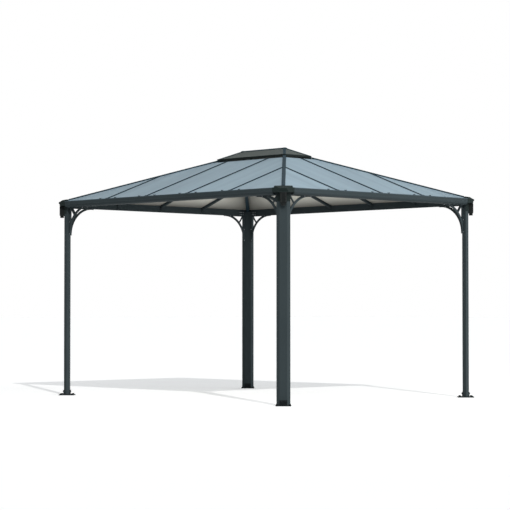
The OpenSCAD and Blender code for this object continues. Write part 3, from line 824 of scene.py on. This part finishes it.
def make_rafter_shoes(side):
    """Angle brackets under the glazing bars of a side, at its eave beam."""
    shoes = bmesh.new()
    screws = bmesh.new()
    for place in bar_places(side):
        add_rafter_shoe(shoes, screws, side, place)
    name = SIDES[side]
    make_piece(name + "_rafter_shoes", shoes, FRAME_COAT)
    make_piece(name + "_shoe_screws", screws, FRAME_COAT)


# Fittings of the eaves

GUTTER_END = 0.030
BEAD_R = 0.0042
BEAD_PROUD = 0.0012
BEAD_SIDES = 14
RIB_H = 0.0065
RIB_OUT = 0.0014
RIB_ROUND = 0.0012
RIB_HEIGHTS = (GUTTER_Z + 0.0055, GUTTER_TOP - 0.0125)


def add_eave_bar(bm, outline, side, half, outward, height):
    """A bar along an eave, about its middle."""
    inward = side_frame(side)[1]
    start = side_point(side, -half, outward, height)
    end = side_point(side, half, outward, height)
    add_bar(bm, outline, start, end, inward, UP)


def make_gutter_trim(side):
    """The rolled bead on a gutter's rim, its pale blue tone a painted reflection of the sky, and the two
    pressed lines along its face.
    """
    half = side_frame(side)[3] - GUTTER_END
    bead = bmesh.new()
    rim = EAVE_REACH - BEAD_R + BEAD_PROUD
    add_eave_bar(bead, circle_outline(BEAD_R, BEAD_SIDES), side, half, rim, GUTTER_TOP)
    make_piece(SIDES[side] + "_gutter_bead", bead, RIM_REFLECTION_COAT)
    trim = bmesh.new()
    for height in RIB_HEIGHTS:
        add_eave_bar(trim, round_box_outline(2 * RIB_OUT, RIB_H, RIB_ROUND), side, half, EAVE_REACH, height)
    make_piece(SIDES[side] + "_gutter_trim", trim, FRAME_COAT)


BELLY_CLEAR = 0.0010
BELLY_IN = 0.0500
BELLY_REACH = EAVE_REACH - BELLY_IN - BELLY_CLEAR
BELLY_TOP = GUTTER_Z - 0.0002
BELLY_DROP = BELLY_TOP - BEAM_Z - BELLY_CLEAR
BELLY_WALL = 0.0012
BELLY_STEPS = 10
BELLY_END_GAP = 0.001


def belly_arc(wall):
    """The rounded line of a gutter's belly, drawn in by a wall: outward from the post line, and height."""
    turns = [QUARTER_TURN * step / BELLY_STEPS for step in range(BELLY_STEPS + 1)]
    reach, drop = BELLY_REACH - wall, BELLY_DROP - wall
    return [(BELLY_IN + reach * math.cos(turn), BELLY_TOP - drop * math.sin(turn)) for turn in turns]


def make_gutter_belly(side):
    """The rounded sheet that closes a gutter's underside against the eave beam."""
    inward = side_frame(side)[1]
    half = side_frame(side)[3] - HOOD_WING - BELLY_END_GAP
    section = belly_arc(0.0) + list(reversed(belly_arc(BELLY_WALL)))
    belly = bmesh.new()
    add_bar(belly, section, side_point(side, -half, 0.0, 0.0), side_point(side, half, 0.0, 0.0), -inward, UP)
    make_piece(SIDES[side] + "_gutter_belly", belly, FRAME_COAT)


GUTTER_SCREW_BACKS = (0.105, 0.175, 0.245)
GUTTER_SCREW_Z = GUTTER_Z + 0.018
GUTTER_SCREW_R = 0.005


def make_gutter_screws(side):
    """Screws through the gutter's face by its two ends."""
    _, inward, _, length = side_frame(side)
    screws = bmesh.new()
    for end in (-1, 1):
        for back in GUTTER_SCREW_BACKS:
            place = side_point(side, end * (length - back), EAVE_REACH, GUTTER_SCREW_Z)
            add_pan_screw(screws, place, -inward, GUTTER_SCREW_R)
    make_piece(SIDES[side] + "_gutter_screws", screws, FRAME_COAT)


BRACKET_T = 0.0028
BRACKET_H = 0.042
BRACKET_ROUND = 0.0012
BRACKET_LENGTH = 0.090
BRACKET_GAP = 0.004
BRACKET_FACE = BEVEL_IN + 0.002
BRACKET_Z = BEAM_Z + 0.030
BRACKET_SCREW_SHIFTS = (0.018, 0.045, 0.072)
BRACKET_SCREW_LIFTS = (-0.012, 0.012)
BRACKET_SCREW_R = 0.0048


def make_beam_brackets(side):
    """Joint plates with screws on the inner face of an eave beam, by its two posts."""
    _, inward, _, length = side_frame(side)
    plates = bmesh.new()
    screws = bmesh.new()
    section = round_box_outline(BRACKET_T, BRACKET_H, BRACKET_ROUND)
    for end in (-1, 1):
        start = end * (length - BEVEL_OUT - BRACKET_GAP)
        near = side_point(side, start, BRACKET_FACE, BRACKET_Z)
        far = side_point(side, start - end * BRACKET_LENGTH, BRACKET_FACE, BRACKET_Z)
        add_bar(plates, section, near, far, inward, UP)
        for shift in BRACKET_SCREW_SHIFTS:
            for lift in BRACKET_SCREW_LIFTS:
                place = side_point(side, start - end * shift, BRACKET_FACE - BRACKET_T / 2, BRACKET_Z + lift)
                add_pan_screw(screws, place, inward, BRACKET_SCREW_R)
    name = SIDES[side]
    make_piece(name + "_beam_brackets", plates, FRAME_COAT)
    make_piece(name + "_bracket_screws", screws, SCREW_PLATING)


# Fittings of the corners

LIP_BEAD_R = 0.0030
LIP_OUT = HOOD_FRONT - 0.0015
LIP_Z = HOOD_FRONT_Z - 0.001
HOOD_RIB_PLACES = (-0.026, 0.0, 0.026)
HOOD_RIB_W = 0.0055
HOOD_RIB_H = 0.0040
HOOD_RIB_ROUND = 0.0015
HOOD_RIB_TOP = HOOD_BROW + 0.006
HOOD_RIB_TOP_Z = HOOD_BROW_Z - 0.003
HOOD_RIB_END = HOOD_FRONT - 0.004
HOOD_RIB_END_Z = HOOD_FRONT_Z + 0.002
HOOD_SCREW_BACKS = (0.018, 0.046)
HOOD_SCREW_Z = GUTTER_Z + 0.020
HOOD_SCREW_R = 0.0045


def side_places(signs, along, outward, height):
    """A place on either outer face by a corner, with the direction out of that face."""
    long_side = Vector((signs[0] * (POST_X - along), signs[1] * (POST_Y + outward), height))
    short_side = Vector((signs[0] * (POST_X + outward), signs[1] * (POST_Y - along), height))
    return (long_side, NORTH * signs[1]), (short_side, EAST * signs[0])


def make_hood_trim(corner):
    """The bead along a hood's lip and the ribs on its sloped brow."""
    signs = CORNERS[corner]
    across, out = corner_axes(signs)
    trim = bmesh.new()
    lip = [corner_point(signs, half * HOOD_FRONT_HALF, LIP_OUT, LIP_Z) for half in (-1, 1)]
    add_bar(trim, circle_outline(LIP_BEAD_R), *lip, out, UP)
    fall = (out * (HOOD_FRONT - HOOD_BROW) + UP * (HOOD_FRONT_Z - HOOD_BROW_Z)).normalized()
    square = fall.cross(across).normalized()
    if square.z < 0:
        square.negate()
    section = round_box_outline(HOOD_RIB_W, HOOD_RIB_H, HOOD_RIB_ROUND)
    for place in HOOD_RIB_PLACES:
        brow = corner_point(signs, place, HOOD_RIB_TOP, HOOD_RIB_TOP_Z)
        front = corner_point(signs, place, HOOD_RIB_END, HOOD_RIB_END_Z)
        add_bar(trim, section, brow, front, across, square)
    make_piece(corner + "_hood_trim", trim, HOOD_PLASTIC)


def make_hood_screws(corner):
    """Screws through a hood's two wings into the gutters."""
    screws = bmesh.new()
    for back in HOOD_SCREW_BACKS:
        for place, axis in side_places(CORNERS[corner], back, HOOD_SIDE, HOOD_SCREW_Z):
            add_pan_screw(screws, place, axis, HOOD_SCREW_R)
    make_piece(corner + "_hood_screws", screws, HOOD_PLASTIC)


SKIRT_LOW = SKIRT_END_Z + 0.005
SKIRT_HIGH = SKIRT_LOW + 0.081
SKIRT_OUT = FIT + 0.0034
SKIRT_RIB_W = 0.0050
SKIRT_RIB_T = 0.0044
SKIRT_RIB_ROUND = 0.0012
SKIRT_RIB_STEPS = (0.007, 0.019, 0.031)


def make_skirt_ribs(corner):
    """Upright ribs on the skirt of a hood, on either outer face of its post."""
    signs = CORNERS[corner]
    across, out = corner_axes(signs)
    ribs = bmesh.new()
    section = round_box_outline(SKIRT_RIB_W, SKIRT_RIB_T, SKIRT_RIB_ROUND)
    for half in (-1, 1):
        face = (across * half + out) / ROOT2
        along = (across * half - out) / ROOT2
        edge = corner_point(signs, half * (POST_W - POST_D) / 2, POST_D / 2, 0.0) + face * SKIRT_OUT
        for step in SKIRT_RIB_STEPS:
            foot = edge + along * step
            add_bar(ribs, section, foot + UP * SKIRT_LOW, foot + UP * SKIRT_HIGH, along, face)
    make_piece(corner + "_skirt_ribs", ribs, HOOD_PLASTIC)


NOZZLE_OUT = 0.061
NOZZLE_R = 0.020
NOZZLE_SIDES = 40
NOZZLE_BEAD = ((-0.001, 0.0), (0.0014, 0.0008), (0.0018, 0.0020), (0.0014, 0.0032), (-0.001, 0.0040))
NOZZLE_BEAD_LIFTS = (0.0015, 0.0085)


def make_spout_rim(corner):
    """The beads round a rain spout's nozzle."""
    rims = bmesh.new()
    bead = [(NOZZLE_R + out, height) for out, height in NOZZLE_BEAD]
    for lift in NOZZLE_BEAD_LIFTS:
        foot = corner_point(CORNERS[corner], 0.0, NOZZLE_OUT, SPOUT_END_Z + lift)
        add_turned(rims, bead, foot, UP, NOZZLE_SIDES, hollow=True)
    make_piece(corner + "_nozzle_beads", rims, SPOUT_PLASTIC)


BRACE_T = 0.012
BRACE_IN = BEVEL_IN + FIT
POST_STRIP_MIDDLE = BEVEL_OUT + 0.0068
POST_SCREW_RISES = (0.014, 0.145)
BEAM_SCREW_RUNS = (0.235, 0.320)
BEAM_SCREW_Z = BEAM_Z - 0.0052
BRACE_SCREW_R = 0.0045


def make_brace_screws(corner):
    """Screws through the two braces of a corner, into the post and the beams."""
    screws = bmesh.new()
    post_side = [(POST_STRIP_MIDDLE, BRACE_END_Z + rise) for rise in POST_SCREW_RISES]
    beam_side = [(BEVEL_OUT + run, BEAM_SCREW_Z) for run in BEAM_SCREW_RUNS]
    for along, height in post_side + beam_side:
        for outward, face in ((1, BRACE_IN + BRACE_T), (-1, BRACE_IN)):
            for place, axis in side_places(CORNERS[corner], along, face, height):
                add_pan_screw(screws, place, axis * outward, BRACE_SCREW_R)
    make_piece(corner + "_brace_screws", screws, SCREW_PLATING)


ANCHOR_OFFSET = 0.062
ANCHOR_R = 0.0110
ANCHOR_H = 0.0110
UPSTAND_OUT = POST_D / 2 + FIT + 0.006
UPSTAND_BOLT_ACROSS = 0.020
UPSTAND_BOLT_Z = FOOT_TOP + 0.034
UPSTAND_BOLT_R = 0.0075
UPSTAND_BOLT_H = 0.0055
WELD = ((0.0, 0.0), (0.0050, 0.0), (0.0030, 0.0018), (0.0018, 0.0030), (0.0, 0.0050))
WELD_HALF = 0.036


def make_foot_bolts(corner):
    """Anchor bolts in a base plate and the bolts through its upstands."""
    signs = CORNERS[corner]
    out = corner_axes(signs)[1]
    bolts = bmesh.new()
    for across_sign in (-1, 1):
        for out_sign in (-1, 1):
            anchor = corner_point(signs, across_sign * ANCHOR_OFFSET, out_sign * ANCHOR_OFFSET, FOOT_TOP)
            add_hex_bolt(bolts, anchor, UP, ANCHOR_R, ANCHOR_H)
            across = across_sign * UPSTAND_BOLT_ACROSS
            side = corner_point(signs, across, out_sign * UPSTAND_OUT, UPSTAND_BOLT_Z)
            add_hex_bolt(bolts, side, out * out_sign, UPSTAND_BOLT_R, UPSTAND_BOLT_H)
    make_piece(corner + "_foot_bolts", bolts, FOOT_COAT)


def make_foot_welds(corner):
    """Weld seams between a base plate and its upstands."""
    signs = CORNERS[corner]
    out = corner_axes(signs)[1]
    welds = bmesh.new()
    for out_sign in (-1, 1):
        start = corner_point(signs, -WELD_HALF, out_sign * UPSTAND_OUT, FOOT_TOP)
        end = corner_point(signs, WELD_HALF, out_sign * UPSTAND_OUT, FOOT_TOP)
        add_bar(welds, WELD, start, end, out * out_sign, UP)
    make_piece(corner + "_foot_welds", welds, FOOT_COAT)


# Fittings of the vent

SCREEN_IN = 0.022
SCREEN_STEP = 0.0048
SCREEN_ROWS = 4
WIRE_R = 0.0007
WIRE_SIDES = 6
BOOT_W = 0.046
BOOT_ROUND = 0.004
BOOT_STEPS = 3
BOOT_LENGTH = 0.050
BOOT_GAP = 0.0004
RIDGE_CAP = ((0.030, 0.0), (0.0285, 0.005), (0.022, 0.0095), (0.012, 0.0125), (0.004, 0.0135))
RIDGE_CAP_SINK = 0.0125
RIDGE_CAP_SIDES = 20
VENT_SCREW_STEP = 0.17
VENT_SCREW_R = 0.0042


def vent_faces(inset):
    """The vent's faces, drawn in: direction along, direction out, half length and distance."""
    half_x = VENT_EDGE_HIGH.x - inset
    half_y = VENT_OUT - inset
    return [
        (along, outward * sign, half, depth)
        for along, outward, half, depth in ((EAST, NORTH, half_x, half_y), (NORTH, EAST, half_y, half_x))
        for sign in (-1, 1)
    ]


def make_vent_screen():
    """A wire screen round the vent's open slot."""
    wires = bmesh.new()
    wire = circle_outline(WIRE_R, WIRE_SIDES)
    low, high = CURB_HIGH.z, VENT_EDGE_LOW.z
    for along, outward, half, depth in vent_faces(SCREEN_IN):
        steps = int(2 * half / SCREEN_STEP)
        for k in range(steps + 1):
            foot = along * (-half + 2 * half * k / steps) + outward * depth
            add_bar(wires, wire, foot + UP * low, foot + UP * high, along, outward)
        for row in range(SCREEN_ROWS):
            edge = outward * depth + UP * (low + (row + 0.5) / SCREEN_ROWS * (high - low))
            add_bar(wires, wire, edge - along * half, edge + along * half, outward, UP)
    make_piece("vent_screen", wires, MESH_WIRE)


def make_vent_boots():
    """Moulded boots that close the corners of the vent's slot over the hips."""
    boots = bmesh.new()
    middle = (CURB_HIGH.z + VENT_EDGE_LOW.z) / 2
    tall = VENT_EDGE_LOW.z - CURB_HIGH.z - 2 * BOOT_GAP
    section = round_box_outline(BOOT_W, tall, BOOT_ROUND, BOOT_STEPS)
    for signs in CORNERS.values():
        across, out = corner_axes(signs)
        tip = Vector((signs[0] * (RIDGE_HALF + VENT_OUT), signs[1] * VENT_OUT, middle)) - out * BOOT_W / 2
        add_bar(boots, section, tip - out * BOOT_LENGTH, tip, across, UP)
    make_piece("vent_corner_boots", boots, VENT_COAT)


def make_ridge_caps():
    """Junction caps at the ends of the vent's ridge."""
    caps = bmesh.new()
    for end in (-1, 1):
        foot = Vector((end * RIDGE_HALF, 0.0, RIDGE_TOP - RIDGE_CAP_SINK))
        add_turned(caps, RIDGE_CAP, foot, UP, RIDGE_CAP_SIDES)
    make_piece("vent_ridge_caps", caps, BAR_COAT)


def make_vent_screws():
    """Screws along the vent's edge frame."""
    screws = bmesh.new()
    middle = (VENT_EDGE_LOW.z + VENT_EDGE_HIGH.z) / 2
    for along, outward, half, depth in vent_faces(0.0):
        steps = 2 * round(half / VENT_SCREW_STEP)
        for k in range(1, steps):
            place = along * (-half + 2 * half * k / steps) + outward * depth + UP * middle
            add_pan_screw(screws, place, outward, VENT_SCREW_R)
    make_piece("vent_edge_screws", screws, VENT_COAT)


def make_fittings():
    """All pieces that the solids don't hold."""
    for side in range(len(SIDES)):
        make_bar_caps(side)
        make_eave_clips(side)
        make_sheet_trims(side)
        make_rafter_shoes(side)
        make_gutter_trim(side)
        make_gutter_belly(side)
        make_gutter_screws(side)
        make_beam_brackets(side)
    for corner in CORNERS:
        make_hood_trim(corner)
        make_hood_screws(corner)
        make_skirt_ribs(corner)
        make_spout_rim(corner)
        make_brace_screws(corner)
        make_foot_bolts(corner)
        make_foot_welds(corner)
    make_vent_screen()
    make_vent_boots()
    make_ridge_caps()
    make_vent_screws()


# Stage, light and camera

FLOOR_HALF = 200.0
FLOOR_Z = -0.0005
FLOOR_WHITE = (0.97, 0.97, 0.97, 1.0)
FLOOR_ROUGHNESS = 0.9
FLOOR_GLOW = 0.315
FLOOR_BOUNCE = (0.82, 0.82, 0.82, 1.0)
SKY_WHITE = (1.0, 1.0, 1.0, 1.0)
SKY_FILL = (0.93, 0.97, 1.0, 1.0)
SKY_STRENGTH = 0.294
SUN_COLOUR = (1.0, 0.985, 0.96)
FILL_COLOUR = (0.97, 0.99, 1.0)
FILL_SPREAD = 50.0

# Camera, from the vanishing points of the photograph
CAMERA_PLACE = (15.2554, -14.7488, 0.9353)
CAMERA_TURN = (math.radians(91.653), 0.0, math.radians(46.228))
CAMERA_LENS = 136.44
CAMERA_FAR = 1000.0
SENSOR_WIDTH = 36.0


def seen_rays(tree):
    """1 for rays of the camera and of mirror-like or clear surfaces, 0 for rays that carry light."""
    path = add_node(tree, "ShaderNodeLightPath").outputs
    seen = math_node(tree, "MAXIMUM", path["Is Camera Ray"], path["Is Glossy Ray"])
    return math_node(tree, "MAXIMUM", seen, path["Is Transmission Ray"])


def show_by_rays(tree, carried, shown, output):
    """Gives one shader to rays that carry light and another to rays that are seen."""
    blend = add_node(tree, "ShaderNodeMixShader")
    tree.links.new(seen_rays(tree), blend.inputs["Fac"])
    tree.links.new(carried, blend.inputs[1])
    tree.links.new(shown, blend.inputs[2])
    tree.links.new(blend.outputs["Shader"], output.inputs["Surface"])


def make_floor_white():
    """A white floor: a plain bounce for the light, and a slight glow where it is seen."""
    material, tree, shader = new_material("floor_white", FLOOR_WHITE)
    set_shader(shader, Base_Color=FLOOR_WHITE, Roughness=FLOOR_ROUGHNESS, Specular_IOR_Level=0.0)
    bounce = add_node(tree, "ShaderNodeBsdfDiffuse")
    bounce.inputs["Color"].default_value = FLOOR_BOUNCE
    glow = add_node(tree, "ShaderNodeEmission")
    glow.inputs["Strength"].default_value = FLOOR_GLOW
    shown = add_node(tree, "ShaderNodeAddShader")
    tree.links.new(shader.outputs["BSDF"], shown.inputs[0])
    tree.links.new(glow.outputs["Emission"], shown.inputs[1])
    output = next(node for node in tree.nodes if node.type == "OUTPUT_MATERIAL")
    show_by_rays(tree, bounce.outputs["BSDF"], shown.outputs["Shader"], output)
    return material


def make_floor():
    """A plain white floor that keeps the gazebo's shadow."""
    mesh = bpy.data.meshes.new("floor")
    corners = [(x * FLOOR_HALF, y * FLOOR_HALF, FLOOR_Z) for x, y in CORNERS.values()]
    mesh.from_pydata(corners, [], [range(len(corners))])
    mesh.materials.append(make_floor_white())
    floor = link_object("floor", mesh)


def make_sky():
    """An even fill light, behind a white backdrop."""
    world = bpy.data.worlds.new("studio")
    bpy.context.scene.world = world
    world.use_nodes = True
    tree = world.node_tree
    tree.nodes.clear()
    fill = add_node(tree, "ShaderNodeBackground")
    fill.inputs["Color"].default_value = SKY_FILL
    fill.inputs["Strength"].default_value = SKY_STRENGTH
    white = add_node(tree, "ShaderNodeBackground")
    white.inputs["Color"].default_value = SKY_WHITE
    output = add_node(tree, "ShaderNodeOutputWorld")
    show_by_rays(tree, fill.outputs["Background"], white.outputs["Background"], output)


def aim(holder, direction):
    """Turns a lamp to shine in a direction."""
    holder.rotation_euler = Vector(direction).to_track_quat("-Z", "Y").to_euler()


def make_sun(name, travel, strength, spread, colour):
    """A far lamp whose light travels one way, softer the wider its spread in degrees."""
    sun = bpy.data.lights.new(name, "SUN")
    sun.energy = strength
    sun.angle = math.radians(spread)
    sun.color = colour
    aim(link_object(name, sun), travel)


def make_lamp(name, place, target, width, height, power):
    """A broad near lamp, whose light falls off along the gazebo."""
    lamp = bpy.data.lights.new(name, "AREA")
    lamp.energy = power
    lamp.shape = "RECTANGLE"
    lamp.size = width
    lamp.size_y = height
    holder = link_object(name, lamp)
    holder.location = place
    holder.visible_camera = False
    aim(holder, Vector(target) - Vector(place))


def make_lights():
    """A sun, soft light from either side, a lamp over the front corner and a low one on the right."""
    make_sun("sun", travel=(-0.759, 0.415, -0.502), strength=1.75, spread=0.8, colour=SUN_COLOUR)
    make_sun("right_fill", travel=(-0.75, -0.60, -0.28), strength=1.5, spread=FILL_SPREAD, colour=FILL_COLOUR)
    make_sun("left_fill", travel=(0.48, 0.87, -0.06), strength=0.45, spread=FILL_SPREAD, colour=FILL_COLOUR)
    make_lamp(
        "corner_lamp", place=(3.6, -3.3, 5.4), target=(1.2, -0.9, 2.3), width=3.0, height=3.0, power=95.0)
    make_lamp(
        "low_lamp", place=(9.5, 4.5, 0.55), target=(-1.2, 0.2, 2.3), width=4.0, height=0.9, power=265.0)


def make_camera():
    """The photograph's view."""
    data = bpy.data.cameras.new("camera")
    data.lens = CAMERA_LENS
    data.sensor_width = SENSOR_WIDTH
    data.clip_end = CAMERA_FAR
    camera = link_object("camera", data)
    camera.location = CAMERA_PLACE
    camera.rotation_euler = CAMERA_TURN
    bpy.context.scene.camera = camera


dress_frame()
make_fittings()
make_floor()
make_sky()
make_lights()
make_camera()
bpy.context.scene.view_settings.view_transform = "Standard"
